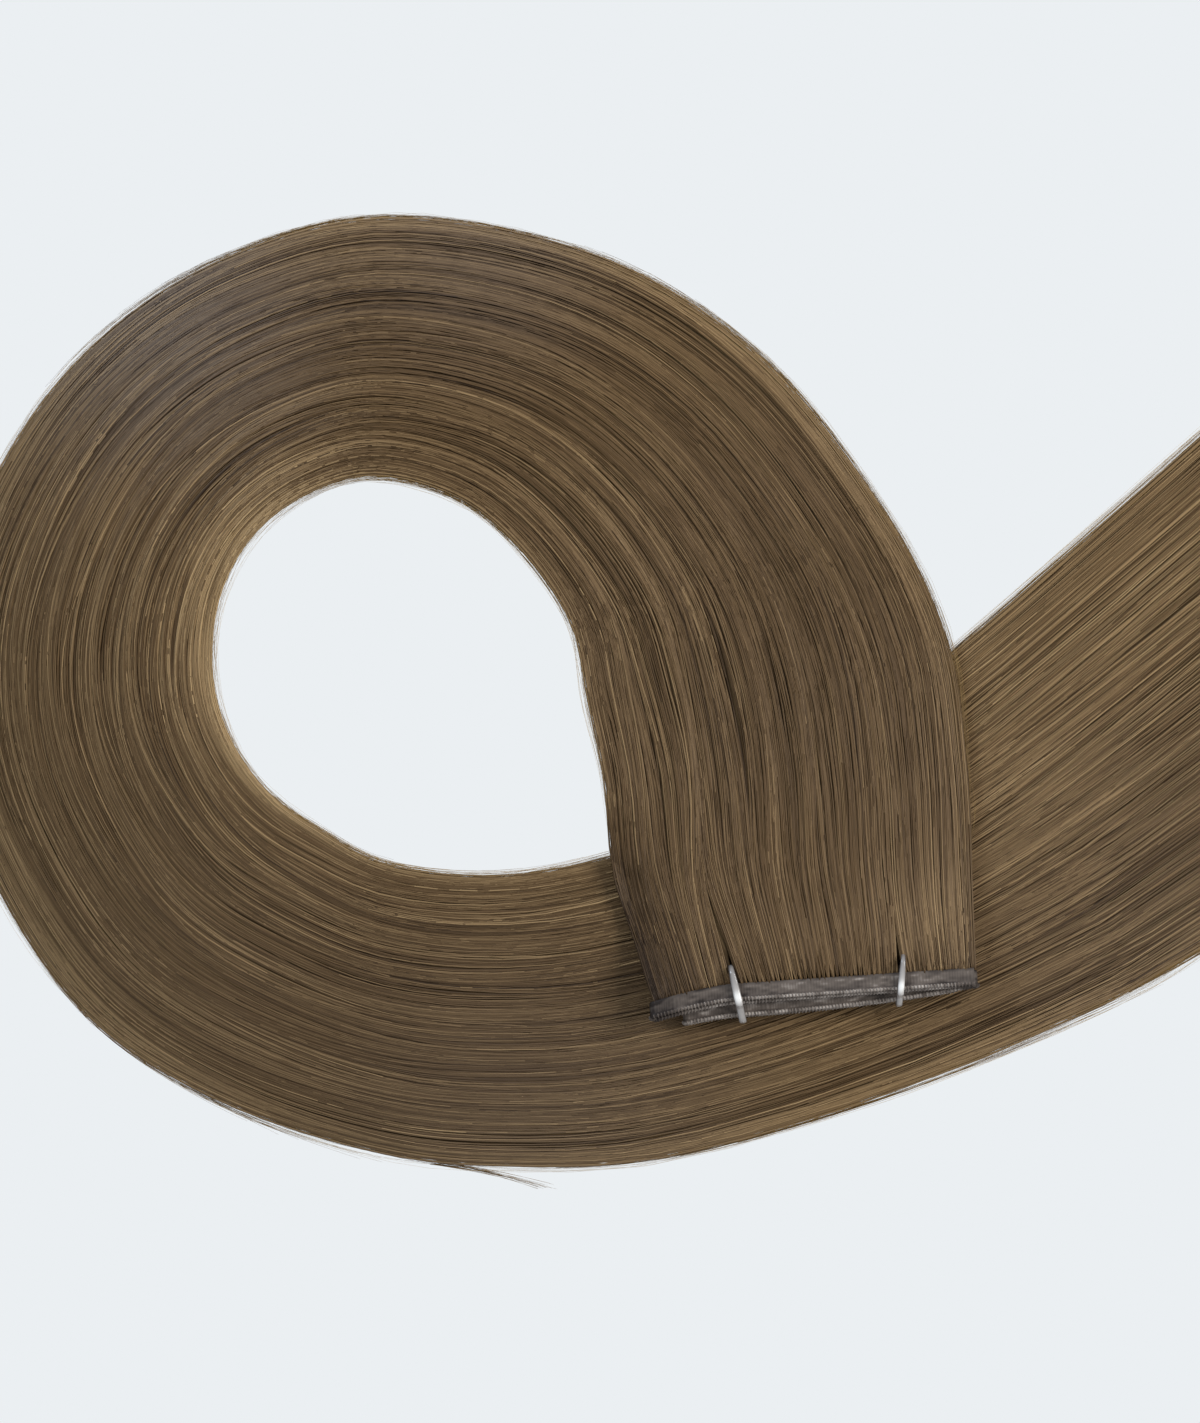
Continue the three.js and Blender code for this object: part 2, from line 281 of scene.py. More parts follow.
# End hairs: short ones between the tips of the strands: how many over the whole width, the sections that
# each runs over, how far it drifts aside, at which shares of the hair's height it lies, and its radius, as
# a share of a strand's, and tone, each as a middle and a spread
END_HAIRS = 700
END_HAIR_RINGS = 8
END_HAIR_SECTIONS = (0.5, 1.2)
END_HAIR_DRIFT = 0.9 * MM
END_HAIR_HEIGHTS = (0.1, 0.85)
END_HAIR_RADIUS = (0.9, 0.15)
END_HAIR_TONE = (-0.04, 0.1)
END_HAIR_SEED = 40

# Flyaway hairs: edge, first and last station, how far out they reach, how many and how scattered
FLYAWAYS = [
    (OUTER_EDGE, 16.4, 17.45, 5.5 * MM, 20, 0.3),
    (OUTER_EDGE, 13.9, 15.9, 1.6 * MM, 16, 1.0),
    (OUTER_EDGE, 6.2, 9.1, 1.1 * MM, 14, 1.0),
    (OUTER_EDGE, 3.6, 6.0, 1.0 * MM, 12, 1.0),
    (OUTER_EDGE, 1.2, 3.6, 0.7 * MM, 8, 1.0),
    (OUTER_EDGE, 17.6, 20.2, 1.0 * MM, 14, 1.0),
    (INNER_EDGE, 10.8, 11.6, 1.2 * MM, 4, 1.0),
    (INNER_EDGE, 4.4, 8.6, 0.8 * MM, 16, 1.0),
    (INNER_EDGE, 12.6, 17.5, 0.8 * MM, 14, 1.0),
    (INNER_EDGE, 19.6, 22.5, 0.9 * MM, 12, 1.0),
]
# Where along that stretch they start and end, how they bend and how much of that reach they have, each
# as a middle and a spread
FLYAWAY_START = (0.15, 0.3)
FLYAWAY_END = (0.88, 0.28)
FLYAWAY_BEND = (1.8, 0.6)
FLYAWAY_OUT = (0.62, 0.38)
FLYAWAY_INSIDE = 0.6 * MM
FLYAWAY_HEIGHTS = (0.2, 0.9)
FLYAWAY_RINGS = 14
FLYAWAY_RADIUS = 0.06 * MM
FLYAWAY_TIP_LEFT = 0.3
FLYAWAY_TONE = (0.72, 0.1)
FLYAWAY_SEED = 21

# Band: one strip folded into runs that lie on each other. Columns of the runs: how far they stop short of
# the left and the right end, and how far they lie out at the left end, the middle and the right end
BAND_LENGTH = 60 * MM
BAND_HALF = BAND_LENGTH / 2
BAND_HEIGHT = 3.2 * MM
BAND_THICK = 1 * MM
BAND_DROOP = 2.3 * MM
DROOP_POWER = 1.5
ROOT_GAP = 0.6 * MM
RUN_PITCH = 1.5 * MM
RUNS = MM * np.array([
    [0, 0, 0, 0, 0],
    [0, 0.5, 0.8, 0.6, 0.4],
    [6, 0.5, 2.6, 2.7, 0.6],
    [6, 3, 2.8, 3, 0.8],
])
STRIP_STEP = 0.18 * MM
STRIP_SEED = 30
FOLD_STEPS = 16
# Half of the strip's section from the hair's edge to the lower one: distance down and half thickness
STRIP_SECTION = MM * np.array([
    [0.03, 0.2], [0.22, 0.38], [0.7, 0.36], [1.2, 0.35], [1.7, 0.35], [2.2, 0.36],
    [2.5, 0.42], [2.75, 0.5], [2.98, 0.45], [3.14, 0.26], [3.2, 0.08],
])
# Ribs across the strip and rows along it: where down it they set in and stop, and how uneven they are
RIB_PITCH = 0.55 * MM
RIB_DEPTH = 0.04 * MM
RIB_SHIFT = 0.35
RIBS_SET_IN = (0.2 * MM, 0.5 * MM)
RIBS_STOP = (2.3 * MM, 2.6 * MM)
ROW_PITCH = 0.62 * MM
ROW_SHIFT = 0.4
PATCH_PITCH = 2 * MM
# The lower rim's painted highlight, where down the strip it sets in and how far from the band's ends
RIM_SET_IN_DOWN = (2.6 * MM, 2.8 * MM)
RIM_FADE_LEFT = (1.5 * MM, 8 * MM)
RIM_FADE_RIGHT = (1 * MM, 5.5 * MM)
# Tone of the strip, what makes it paler, what makes it darker and how far that reaches. Paler: among them a
# painted highlight on the lower rim and painted fill light on the lower runs, which lie in the top run's
# shade. Darker: among them painted shade where the strip meets the hair, at its ends and at its left end
STRIP_TONE = 0.37
PATCH_TONE = 0.07
RIB_TONE = 0.05
ROW_TONE = 0.1
LOWER_RIM_HIGHLIGHT = 0.3
LOWER_RIM_HIGHLIGHT_PATCHES = 2
WEAVE_TONE = 0.08
LOWER_RUNS_PAINTED_FILL = 0.1
SEAM_SHADE = 0.22
SEAM_DOWN = 2.45 * MM
SEAM_WIDTH = 0.16 * MM
NEAR_HAIR_SHADE = 0.18
NEAR_HAIR_REACH = 0.9 * MM
END_SHADE = 0.22
END_SHADE_REACH = 1.8 * MM
LEFT_END_SHADE = 0.14
LEFT_END_REACH = (1 * MM, 10 * MM)

# Stitches round the strip's lower edge: how far each one goes round, down and out, and its tone as a middle
# and a spread, and how much paler it is under the lower rim's painted highlight
STITCH_PITCH = 0.62 * MM
STITCH_MARGIN = 0.4 * MM
STITCH_SHIFT = 0.05 * MM
STITCH_TURN = 0.62 * math.pi
STITCH_MIDDLE = 2.75 * MM
STITCH_DOWN = 0.5 * MM
STITCH_OUT = 0.53 * MM
STITCH_SLANT = 0.12 * MM
STITCH_RADIUS = 0.13 * MM
STITCH_RINGS = 9
STITCH_SIDES = 6
STITCH_TONE = (0.26, 0.07)
STITCH_HIGHLIGHT = 0.34
STITCH_SEED = 31

# Ties: name, where each one crosses the band, how far it leans along it towards the hair, and its width
TIES = [
    ("tie_left", LEFT_PARTING, -0.16, 1.4 * MM),
    ("tie_right", RIGHT_PARTING, 0.14, 1.2 * MM),
]
TIE_THICK = 0.8 * MM
TIE_CLEAR = 0.75 * MM
TIE_CORNER = 0.4 * TIE_CLEAR
TIE_REACH = 2.4 * MM
TIE_CURVE_STEPS = 40
TIE_RINGS = 120
TIE_SIDES = 16
# How square the tie's section is, and the share of its width left where it goes into the hair
TIE_SQUARE_POWER = 0.7
TIE_IN_LEFT = 0.75
TIE_NARROWS_FROM = -1 * MM
# Tone of a tie, its painted highlight along the front, at a share of the way to it, its painted shade at
# the sides and its painted shade on the way into the hair
TIE_TONE = 0.34
TIE_FACETS = 3
TIE_FACET_TONE = 0.08
TIE_HIGHLIGHT_TONE = 0.5
TIE_HIGHLIGHT_PLACE = 0.7
TIE_HIGHLIGHT_REACH = 1.3 * MM
TIE_SIDE_SHADE = 0.3
TIE_SIDE_POWER = 6
TIE_IN_SHADE = 0.24
TIE_DARK_FROM = -1.5 * MM

# Materials: colours from dark to pale as sRGB parts from 0 to 255, how strong their grain is, its scale,
# roughness, specular level and whether the grain runs in lines
MATERIALS = {
    "hair": ([(46, 33, 21), (97, 76, 51), (168, 141, 103)], 0.03, 90, 0.5, 0.13, False),
    # The fringe's colours are a paler copy of the hair's: painted light on fine hairs that lie in the
    # hair's shade
    "hair_fringe_painted_light": ([(104, 80, 44), (150, 121, 72), (190, 160, 104)], 0.05, 90, 0.5, 0.15, False),
    "hair_core": ([(30, 22, 14), (84, 67, 45), (128, 105, 75)], 0.7, 1, 0.7, 0.1, True),
    "band": ([(34, 28, 26), (100, 91, 85), (192, 183, 176)], 0.13, 900, 0.55, 0.2, False),
    "tie": ([(84, 80, 80), (176, 172, 170), (246, 245, 243)], 0.05, 300, 0.22, 0.7, False),
}
GRAIN_DETAIL = 3
FLOOR_COLOUR = (235, 239, 242)

# View: the middle, the height and the level of what the camera sees, and how far over it the camera is
FRAME_MIDDLE = (-41.1 * MM, -25.4 * MM)
FRAME_HEIGHT = 261.1 * MM
FRAME_LEVEL = 5 * MM
CAMERA_DISTANCE = 1.6
SENSOR_HEIGHT = 24
FLOOR_SIZE = 6

# Light: the plain world, how far away the lamps are, and the name, azimuth, elevation, size, energy and
# colour of each one
WORLD_COLOUR = (0.86, 0.88, 0.9, 1)
WORLD_STRENGTH = 0.52
LAMP_DISTANCE = 1.3
SOFTBOXES = [
    ("key_softbox", 15, 38, 0.6, 13, (1.0, 0.98, 0.94)),
    ("cool_softbox", 134, 38, 0.4, 9, (0.8, 0.9, 1.0)),
]

# Map: the share of its strip that a skin leaves free at each side, and the half sizes of its end caps
MAP_MARGIN = 0.06
CAP_HALF_LENGTH = 0.002
CAP_HALF_WIDTH = 0.3


# Small sums
def mix(start, end, share):
    return start + (end - start) * share


def ease(value, start, end):
    """0 before start, 1 after end and a smooth rise between."""
    share = np.clip((value - start) / (end - start), 0, 1)
    return share * share * (3 - 2 * share)


def linear(red, green, blue):
    """A linear colour from an sRGB one with parts from 0 to 255."""
    parts = np.array([red, green, blue]) / 255
    values = np.where(parts <= 0.04045, parts / 12.92, ((parts + 0.055) / 1.055) ** 2.4)
    return (*values.tolist(), 1.0)


def unit(vectors):
    return vectors / np.linalg.norm(vectors, axis=-1, keepdims=True)


def raised(plan, height):
    """Points from their places in plan and their heights."""
    return np.concatenate([plan, height[..., None]], -1)


def curve_between(before, start, end, after, past):
    """Points at a share past start of a smooth curve from start to end, with the points beside them."""
    leave = (end - before) / 2
    arrive = (after - start) / 2
    square = 3 * (end - start) - 2 * leave - arrive
    cubic = 2 * (start - end) + leave + arrive
    return start + past * (leave + past * (square + past * cubic))


def pattern(seed, waves, across, along):
    """A smooth random pattern over the hair that goes through across waves over its width and up to
    along waves from section to section. Its values are mostly from -2 to 2."""
    rng = np.random.default_rng(seed)
    across_rate = rng.uniform(*across, waves)
    along_rate = rng.uniform(-along, along, waves)
    phase = rng.uniform(0, 1, waves)

    def at(share, station):
        total = 0
        for k in range(waves):
            turn = across_rate[k] * share + along_rate[k] * station + phase[k]
            total = total + np.sin(2 * np.pi * turn)
        return total * math.sqrt(2 / waves)

    return at


broad_sway = pattern(seed=1, waves=12, across=(3, 10), along=0.14)
clump_sway = pattern(seed=2, waves=24, across=(30, 60), along=0.3)
broad_tone = pattern(seed=3, waves=16, across=(3, 12), along=0.2)
streak_tone = pattern(seed=4, waves=60, across=(45, 190), along=0.3)
grooves = pattern(seed=5, waves=40, across=(35, 110), along=0.25)
tuft_ends = pattern(seed=6, waves=10, across=(8, 24), along=0)
band_weave = pattern(seed=7, waves=30, across=(1, 4), along=0.4)


# Meshes
def loft(name, material, rings, tone, closed=False):
    """One mesh of smooth closed skins. rings is (skins, rings along, points round, 3) and tone a value
    for each point. A closed skin joins its last ring to its first. The map gives each skin a strip."""
    skins, along, around = rings.shape[:3]
    spans = along if closed else along - 1
    index = np.arange(skins * along * around).reshape(skins, along, around)
    here = index[:, :spans]
    after = np.roll(index, -1, axis=1)[:, :spans]
    quads = np.stack([here, np.roll(here, -1, 2), np.roll(after, -1, 2), after], -1).reshape(-1, 4)
    skin, span, side = np.meshgrid(np.arange(skins), np.arange(spans), np.arange(around), indexing="ij")
    u = np.stack([span, span, span + 1, span + 1], -1) / spans
    round_share = np.stack([side, side + 1, side + 1, side], -1) / around
    v = (skin[..., None] + mix(MAP_MARGIN, 1 - MAP_MARGIN, round_share)) / skins
    corners = [quads.ravel()]
    sizes = [np.full(len(quads), 4)]
    maps = [np.stack([u.ravel(), v.ravel()], -1)]
    if not closed:
        turn = 2 * np.pi * np.arange(around) / around
        ends = np.concatenate([index[:, 0, ::-1], index[:, -1]])
        corners.append(ends.ravel())
        sizes.append(np.full(len(ends), around))
        cap_u = CAP_HALF_LENGTH * (1 + np.cos(turn)) * np.ones((skins, 1))
        cap_v = (np.arange(skins)[:, None] + 0.5 + CAP_HALF_WIDTH * np.sin(turn)) / skins
        maps.append(np.stack([cap_u.ravel(), cap_v.ravel()], -1))
        maps.append(np.stack([1 - cap_u.ravel(), cap_v.ravel()], -1))
    faces = (np.concatenate(rows) for rows in (corners, sizes, maps))
    return mesh_piece(name, material, rings, tone, *faces)


def mesh_piece(name, material, points, tone, corners, sizes, maps):
    """A mesh from points with tones and the corners and sizes of faces with their map."""
    mesh = bpy.data.meshes.new(name)
    mesh.vertices.add(points.size // 3)
    mesh.vertices.foreach_set("co", points.astype(np.float32).ravel())
    mesh.loops.add(len(corners))
    mesh.loops.foreach_set("vertex_index", corners.astype(np.int32))
    mesh.polygons.add(len(sizes))
    mesh.polygons.foreach_set("loop_start", (np.cumsum(sizes) - sizes).astype(np.int32))
    mesh.polygons.foreach_set("use_smooth", np.ones(len(sizes), bool))
    mesh.update(calc_edges=True)
    mesh.uv_layers.new(name="OFBake").data.foreach_set("uv", maps.astype(np.float32).ravel())
    mesh.attributes.new("tone", "FLOAT", "POINT").data.foreach_set("value", tone.astype(np.float32).ravel())
    mesh.materials.append(materials[material])
    piece = bpy.data.objects.new(name, mesh)
    scene.collection.objects.link(piece)
    return piece


def tubes(name, material, middles, sideways, upward, radius, tone, sides):
    """Closed tubes of round rings. middles, sideways and upward are (tubes, rings, 3), and sideways
    crossed with upward points along the tube. radius and tone are (tubes, rings)."""
    turn = 2 * np.pi * (np.arange(sides) + 1 / 4) / sides - np.pi * (1 / 2 - 1 / sides)
    round_it = np.cos(turn)[:, None] * sideways[:, :, None] + np.sin(turn)[:, None] * upward[:, :, None]
    rings = middles[:, :, None] + radius[:, :, None, None] * round_it
    return loft(name, material, rings, np.repeat(tone[:, :, None], sides, axis=2))


# Materials
def node_material(name, roughness, specular):
    """A new material and the inputs of its main shader."""
    material = bpy.data.materials.new(name)
    material.use_nodes = True
    inputs = material.node_tree.nodes["Principled BSDF"].inputs
    inputs["Roughness"].default_value = roughness
    inputs["Specular IOR Level"].default_value = specular
    return material, inputs


def add_node(tree, kind, inputs, **settings):
    """A new shader node with its settings, and a value or another node's output at each of some inputs."""
    node = tree.nodes.new(f"ShaderNode{kind}")
    for name, value in settings.items():
        setattr(node, name, value)
    for name, value in inputs.items():
        if isinstance(value, bpy.types.NodeSocket):
            tree.links.new(value, node.inputs[name])
        else:
            node.inputs[name].default_value = value
    return node


def toned_material(name, colours, grain, grain_scale, roughness, specular, lined):
    """Colours along a ramp by each point's tone, with a little uneven grain added, which runs in lines
    where the points of a mesh say so."""
    material, inputs = node_material(name, roughness, specular)
    tree = material.node_tree
    tone = add_node(tree, "Attribute", {}, attribute_name="tone").outputs["Fac"]
    if lined:
        place = add_node(tree, "Attribute", {}, attribute_name="lines").outputs["Vector"]
    else:
        place = add_node(tree, "TexCoord", {}).outputs["Object"]
    noise_inputs = {"Vector": place, "Scale": grain_scale, "Detail": GRAIN_DETAIL}
    noise = add_node(tree, "TexNoise", noise_inputs).outputs["Fac"]
    spread_inputs = {"Value": noise, "To Min": -grain, "To Max": grain}
    spread = add_node(tree, "MapRange", spread_inputs).outputs["Result"]
    total = add_node(tree, "Math", {0: tone, 1: spread}).outputs["Value"]
    ramp = add_node(tree, "ValToRGB", {"Fac": total})
    ramp.color_ramp.elements[0].color = linear(*colours[0])
    ramp.color_ramp.elements[1].color = linear(*colours[-1])
    for k in range(1, len(colours) - 1):
        ramp.color_ramp.elements.new(k / (len(colours) - 1)).color = linear(*colours[k])
    tree.links.new(ramp.outputs["Color"], inputs["Base Color"])
    return material


def add_cool_grey_patch(material, middle, reach, most):
    """Mixes a cooler and greyer colour into a patch of a material; the first patch on the hair is a painted
    sheen.
    """
    tree = material.node_tree
    base_colour = tree.nodes["Principled BSDF"].inputs["Base Color"]
    plain = base_colour.links[0].from_socket
    place = add_node(tree, "TexCoord", {}).outputs["Object"]
    distance = add_node(tree, "VectorMath", {0: place, 1: middle}, operation="DISTANCE")
    fade_inputs = {"Value": distance.outputs["Value"], "From Max": reach, "To Min": most, "To Max": 0}
    fade = add_node(tree, "MapRange", fade_inputs, interpolation_type="SMOOTHSTEP")
    blend_inputs = {"Factor": fade.outputs["Result"], "A": plain, "B": linear(*SHEEN_AND_GREY_COLOUR)}
    blend = add_node(tree, "Mix", blend_inputs, data_type="RGBA")
    tree.links.new(blend.outputs["Result"], base_colour)


materials = {name: toned_material(name, *row) for name, row in MATERIALS.items()}
for sheen_and_grey_patch in SHEEN_AND_GREY_PATCHES:
    add_cool_grey_patch(materials["hair"], *sheen_and_grey_patch)


# The hair's shape
def section_at(station):
    """Rows of the section table at stations, which may lie between two rows."""
    rows = np.vstack([2 * SECTIONS[0] - SECTIONS[1], SECTIONS, 2 * SECTIONS[-1] - SECTIONS[-2]])
    low = np.clip(np.floor(station).astype(int), 0, len(SECTIONS) - 2)
    past = (station - low)[..., None]
    return curve_between(*(rows[low + step] for step in range(4)), past)


def last_station(share):
    return mix(INNER_LAST, OUTER_LAST, share)


def hair_width(station):
    row = section_at(station)
    return np.linalg.norm(row[..., 2:4] - row[..., 0:2], axis=-1)


def hair_at(station, share):
    """Place in plan, direction across, underside and height of the hair."""
    row = section_at(station)
    inner = row[..., 0:2]
    reach = row[..., 2:4] - inner
    place = inner + reach * share[..., None]
    lift = mix(np.maximum(row[..., 4], 0), np.maximum(row[..., 5], 0), share)
    crown = 1 - np.abs(np.clip(2 * share - 1, -1, 1)) ** CROWN_POWER
    last = last_station(share)
    thinning = mix(1, TIP_THICK_LEFT, ease(station, last - TIP_SECTIONS, last))
    height = mix(row[..., 7], row[..., 6], crown) * thinning
    return place, unit(reach), lift, height


# The band's own frame
root_row = SECTIONS[0]
band_middle = (root_row[0:2] + root_row[2:4]) / 2
along_band = unit(root_row[2:4] - root_row[0:2])
towards_hair = np.array([-along_band[1], along_band[0]])
band_top = root_row[4] + root_row[6]


def band_point(along, hairward, height):
    plan = band_middle + along[..., None] * along_band + hairward[..., None] * towards_hair
    return raised(plan, height)


def run_offset(run, along):
    """How far a run lies hairward of the straight root line."""
    share = along / BAND_LENGTH + 0.5
    left_out, middle_out, right_out = RUNS[run, 2:5]
    droop = BAND_DROOP * np.clip(1 - share / LEFT_PARTING, 0, 1) ** DROOP_POWER
    bow = 4 * share * (1 - share)
    return -droop - mix(left_out, right_out, share) - bow * (middle_out - (left_out + right_out) / 2)


def run_height(run):
    return band_top - BAND_THICK / 2 - run * RUN_PITCH


# Hair
def ring_stations(last, rings, rng):
    """Stations of each strand's rings, closer together where the hair bends and not level with those of
    its neighbours."""
    fine = np.linspace(0, INNER_LAST, RING_SEARCH_STEPS)
    passed = np.cumsum(np.interp(fine, RING_STATIONS, RING_DENSITY))
    step = np.arange(rings) + rng.uniform(-RING_SHIFT, RING_SHIFT, (len(last), 1))
    step[:, 0] = 0
    step[:, -1] = rings - 1
    station = np.interp(step / (rings - 1) * np.interp(last, fine, passed)[:, None], passed, fine)
    station[:, -2] = last - TAPER_SECTIONS
    return station


def parted(share, station, width, start, end):
    """Shares moved aside from the partings at the ends of a lock."""
    sides = []
    for edge in (start, end):
        gap, sections = PARTINGS.get(edge, (0, 1))
        sides.append(gap / 2 / width * np.clip(1 - station / sections, 0, 1) ** PARTING_POWER)
    return start + sides[0] + (share - start) * (1 - (sides[0] + sides[1]) / (end - start))


def inset(share, width, distance):
    """Shares drawn in from both edges of the hair."""
    return 0.5 + (np.clip(share, 0, 1) - 0.5) * (1 - 2 * distance / width)


def tapered(station, last):
    """The share of its radius that a strand has, which gets less towards its tip."""
    left = np.clip((last[:, None] - station) / TAPER_SECTIONS, 0, 1)
    return mix(TIP_RADIUS_LEFT, 1, left)


def stretch_tone(share, station):
    total = 0
    for middle_station, middle_share, station_reach, share_reach, lighter in STRETCHES:
        along = (station - middle_station) / station_reach
        across = (share - middle_share) / share_reach
        total = total + lighter * np.exp(-(along**2) - across**2)
    return total


def strand_ends(share, rng):
    """The last station of each strand."""
    tuft = np.clip(0.5 + TUFT_RISE * tuft_ends(share, 0), 0, 1)
    return last_station(share) - SHORT_TUFT_SECTIONS * tuft - SHORT_SECTIONS * rng.random(len(share))


def dark_line_depth(share, station, width):
    """How deep the hair is parted into fine dark lines, from 0 to 1."""
    depth = ease(grooves(share, station), *GROOVE_LEVELS)
    for start, end, first, last, half in DARK_LINES:
        way = (station - first) / (last - first)
        aside = (share - mix(start, end, way)) * width / half
        line = np.exp(-(aside**2)) * ease(way, 0, LINE_FADE) * (1 - ease(way, 1 - LINE_FADE, 1))
        depth = np.maximum(depth, line)
    return depth


def strand_piece(name, material, plan, rise, direction, radius, tone):
    """One piece of strands from their places, heights and the hair's direction across."""
    middles = raised(plan, rise)
    sideways = raised(-direction, np.zeros_like(rise))
    upward = np.zeros_like(middles)
    upward[..., 2] = 1
    return tubes(name, material, middles, sideways, upward, radius, tone, STRAND_SIDES)


def replace_lock(piece, lock):
    """Has a piece of hair stand for both solids of a lock."""
    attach(piece, "root")
    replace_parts(piece, f"hair_{lock}_lock_root", f"hair_{lock}_lock_end")


def sewn_in(place, rise, station, run, along, height_spread):
    """Strands brought to their run of the band at the root."""
    at_root = 1 - ease(station, 0, SEWN_SECTIONS)
    offset = np.choose(run, [run_offset(k, along) for k in range(len(RUNS))])
    into_band = offset - ROOT_GAP - SEWN_DEPTH
    plan = place + (at_root * into_band[:, None])[..., None] * towards_hair
    return plan, mix(rise, (run_height(run) + height_spread)[:, None], at_root)


def left_side(station, share, width):
    """1 at the left edge of the root, 0 away from it."""
    past = np.clip(1 - share * width / ROUND_REACH, 0, 1)
    return past * (1 - ease(station, *ROUND_SECTIONS))


def rounding(station, share, width):
    """How far the hair is let down at the left side of its root."""
    return ROUND_DEPTH * left_side(station, share, width) ** 2 * ease(station, *ROUND_SET_IN)


def waves_along(station, sections, rng):
    """A wave along each strand that takes from few to many sections."""
    count = len(station)
    turns = station / rng.uniform(*sections, (count, 1)) + rng.random((count, 1))
    return np.sin(2 * np.pi * turns)


def swayed(own, station, width, stray, rng):
    """Shares of strands that sway on their own and with their neighbours."""
    reach = np.where(stray, STRAY_SWAY, OWN_SWAY)[:, None] * rng.normal(1, OWN_SWAY_SPREAD, (len(own), 1))
    sway = reach * waves_along(station, SWAY_SECTIONS, rng)
    sway += BROAD_SWAY * broad_sway(own, station) + CLUMP_SWAY * clump_sway(own, station)
    calm = np.minimum(1, np.minimum(own, 1 - own) * width / EDGE_CALM)
    return own + ease(station, 0, SWAY_SET_IN) * calm * sway


def in_teeth(across, share, station):
    """Shares of strands pulled together in teeth at the band."""
    tooth = np.floor(share * BAND_LENGTH / TOOTH_PITCH).astype(int)
    middle = (tooth + 0.5) * TOOTH_PITCH / BAND_LENGTH
    sections = np.random.default_rng(TOOTH_SEED).uniform(*TOOTH_SECTIONS, tooth.max() + 1)[tooth]
    pull = TOOTH_PULL * (1 - ease(station / sections[:, None], 0, 1))
    return mix(across, middle[:, None], pull)


def strand_levels(station, top, under, last, rng):
    """Heights of strands over the hair's underside."""
    count = len(station)
    dips = 1 + DIP * waves_along(station, DIP_SECTIONS, rng)
    sink = np.minimum(rng.exponential(SINK, (count, 1)), MOST_SINK) * dips
    level = np.where(under[:, None], UNDER_HEIGHT + sink, top - sink)
    tip = ease(station, last[:, None] - SINK_SECTIONS, last[:, None])
    return np.maximum(level * mix(1, rng.uniform(*TIP_HEIGHTS_LEFT, (count, 1)), tip), LEAST_RISE)


def strand_tone(own, across, station, width, direction, groove, rng):
    tone = np.interp(station, TONE_STATIONS, HAIR_TONE) + rng.normal(0, STRAND_TONE_SPREAD, (len(own), 1))
    contrast = np.interp(station, TONE_STATIONS, STREAK_CONTRAST)
    tone += BROAD_TONE * broad_tone(own, station) + contrast * streak_tone(own, station)
    tone += stretch_tone(across, station) - PAINTED_GROOVE_SHADE * groove
    edge_distance = np.minimum(across, 1 - across) * width
    # Painted light: paler rims along both edges, and more on the inner edge where it faces the key lamp
    rim = np.where(across < 0.5, *PAINTED_RIM_LIGHT) * np.exp(-edge_distance / PAINTED_RIM_REACH)
    lit = np.where(across < 0.5, PAINTED_LIT_SIDE_LIGHT, 0) * np.maximum(-direction[..., 0], 0)
    rim += lit * np.exp(-edge_distance / PAINTED_LIT_SIDE_REACH)
    # Painted shade on the root's left side, which is turned away from the key lamp
    shade = PAINTED_ROUND_SHADE * left_side(station, across, width) ** ROUND_SHADE_POWER
    return tone + rim * ease(station, 0, RIM_SET_IN) - shade


def grow_strands(name, lock, start, end, count, seed):
    rng = np.random.default_rng(seed)
    lock_start, lock_end, rings = LOCKS[lock]
    share = start + (end - start) * (np.arange(count) + rng.random(count)) / count
    under = (rng.random(count) < UNDER_STRANDS) & (share > UNDER_SHARES[0]) & (share < UNDER_SHARES[1])
    stray = rng.random(count) < STRAY_STRANDS
    last = strand_ends(share, rng)
    station = ring_stations(last, rings, rng)
    own = np.repeat(share[:, None], rings, axis=1)
    width = hair_width(station)
    across = in_teeth(swayed(own, station, width, stray, rng), share, station)
    across = parted(across, station, width, lock_start, lock_end)
    across = inset(across, width, rng.uniform(*EDGE_INSETS, (count, 1)))
    place, direction, lift, height = hair_at(station, across)

    groove = dark_line_depth(own, station, width)
    top = height - groove * GROOVE_DEPTH - rounding(station, across, width)
    rise = lift + strand_levels(station, top, under, last, rng)
    run = np.where(under, len(RUNS) - 1, 0)
    along = (share - 0.5) * BAND_LENGTH
    plan, rise = sewn_in(place, rise, station, run, along, rng.normal(0, SEWN_SPREAD, count))
    radius = STRAND_RADIUS * rng.normal(1, STRAND_RADIUS_SPREAD, (count, 1)) * tapered(station, last)
    tone = strand_tone(own, across, station, width, direction, groove, rng)
    replace_lock(strand_piece(name, "hair", plan, rise, direction, radius, tone), lock)


def outward_from(edge):
    """The way in which shares grow out of the hair at an edge."""
    return 1 if edge == OUTER_EDGE else -1


def edge_strands(name, lock, edge, station, out, height_share, radius, tone, material):
    """Strands beside an edge of the hair, out beyond it, at a share of its height there."""
    outward = outward_from(edge)
    width = hair_width(station)
    place, direction, lift, height = hair_at(station, edge + outward * out / width)
    level = (height - rounding(station, edge, width)) * height_share
    rise = lift + np.maximum(level, LEAST_RISE)
    run = np.where(height_share[:, 0] > 0.5, 0, 1)
    along = np.full(len(station), outward * (BAND_HALF - FLANK_INSET))
    plan, rise = sewn_in(place, rise, station, run, along, np.zeros(len(station)))
    replace_lock(strand_piece(name, material, plan, rise, direction, radius, tone), lock)


